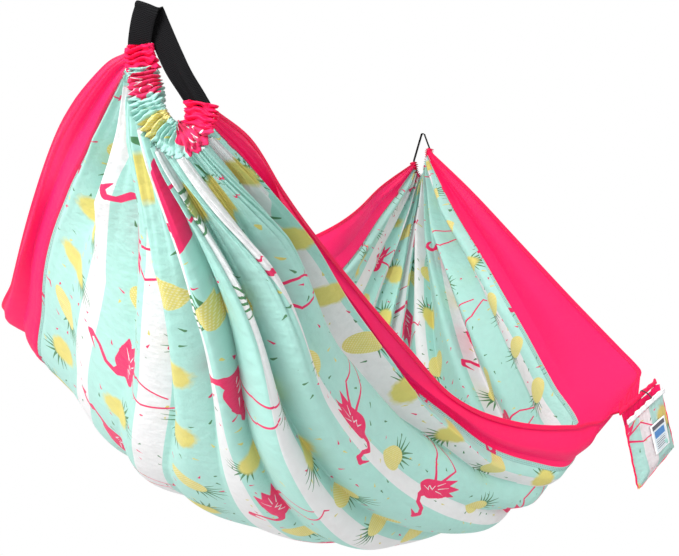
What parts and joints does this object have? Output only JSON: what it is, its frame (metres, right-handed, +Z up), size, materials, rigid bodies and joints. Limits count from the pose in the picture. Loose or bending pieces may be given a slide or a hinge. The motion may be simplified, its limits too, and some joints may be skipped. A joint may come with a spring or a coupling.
{
  "type": "camping hammock",
  "caption": "Gathered-end camping hammock with a printed centre panel, plain side panels, a flat webbing loop at each end and a stuff sack sewn to its edge.",
  "frame": {"origin": "where the near webbing loop hangs: the middle of the flat inner face of its crown", "axes": "+Z up, +Y along the hammock to where the far loop hangs, +X to the right side, where the stuff sack is sewn on"},
  "size_m": [1.5592, 2.232, 1.071],
  "materials": {
    "printed_cloth": "soft sheen, tropical print on a striped ground",
    "pink_cloth": "satin taffeta",
    "seam_thread": "matt thread",
    "webbing": "woven, slight sheen",
    "white_hem": "matt",
    "label": "woven satin",
    "cord": "braided",
    "lock_plastic": "fine texture",
    "spring_steel": "drawn wire"
  },
  "bodies": {
    "bed": {"center_panel": "printed_cloth", "left_side_panel": "pink_cloth", "right_side_panel": "pink_cloth", "left_felled_seam": "seam_thread", "right_felled_seam": "seam_thread", "left_edge_hem": "pink_cloth", "right_edge_hem": "pink_cloth", "near_end_sleeve": "printed_cloth", "near_webbing_core": "webbing", "near_webbing_lap": "webbing", "near_sleeve_stitching": "seam_thread", "far_end_sleeve": "printed_cloth", "far_webbing_core": "webbing", "far_webbing_lap": "webbing", "far_sleeve_stitching": "seam_thread"},
    "near_loop": {"near_webbing_loop": "webbing"},
    "far_loop": {"far_webbing_loop": "webbing"},
    "sack": {"sack_front_panel": "printed_cloth", "sack_back_panel": "pink_cloth", "sack_front_hem": "white_hem", "sack_back_hem": "pink_cloth", "sack_label": "label", "sack_side_seam": "printed_cloth", "sack_attachment_strip": "pink_cloth", "sack_drawstring": "cord", "drawstring_knot": "cord"},
    "cord_lock": {"cord_lock_barrel": "lock_plastic", "cord_lock_spring": "spring_steel"},
    "lock_button": {"cord_lock_plunger": "lock_plastic"}
  },
  "joints": [
    {"name": "near_loop_tip", "type": "hinge", "parent": "bed", "child": "near_loop", "pos_m": [-0.019, 0, -0.058], "axis": [0.752, 0, -0.6591], "range_deg": [-40, 40], "stiffness_Nm_per_rad": 0.5},
    {"name": "far_loop_tip", "type": "hinge", "parent": "bed", "child": "far_loop", "pos_m": [-0.034, 2.2, -0.105], "axis": [0.7639, 0, 0.6454], "range_deg": [-30, 30], "stiffness_Nm_per_rad": 0.5},
    {"name": "sack_swing", "type": "hinge", "parent": "bed", "child": "sack", "pos_m": [0.6335, 1.128, -0.7385], "axis": [0.4155, 0.7705, 0.4835], "range_deg": [-60, 10], "stiffness_Nm_per_rad": 0.8},
    {"name": "cord_lock_slide", "type": "slide", "parent": "sack", "child": "cord_lock", "axis": [-0.2143, -0.243, 0.9461], "range_m": [-0.022, 0.02]},
    {"name": "lock_button_press", "type": "slide", "parent": "cord_lock", "child": "lock_button", "axis": [-0.6258, -0.7095, -0.324], "range_m": [0, 0.0035], "stiffness_N_per_m": 300, "springref_m": -0.002, "deforming": ["cord_lock_spring"]}
  ]
}
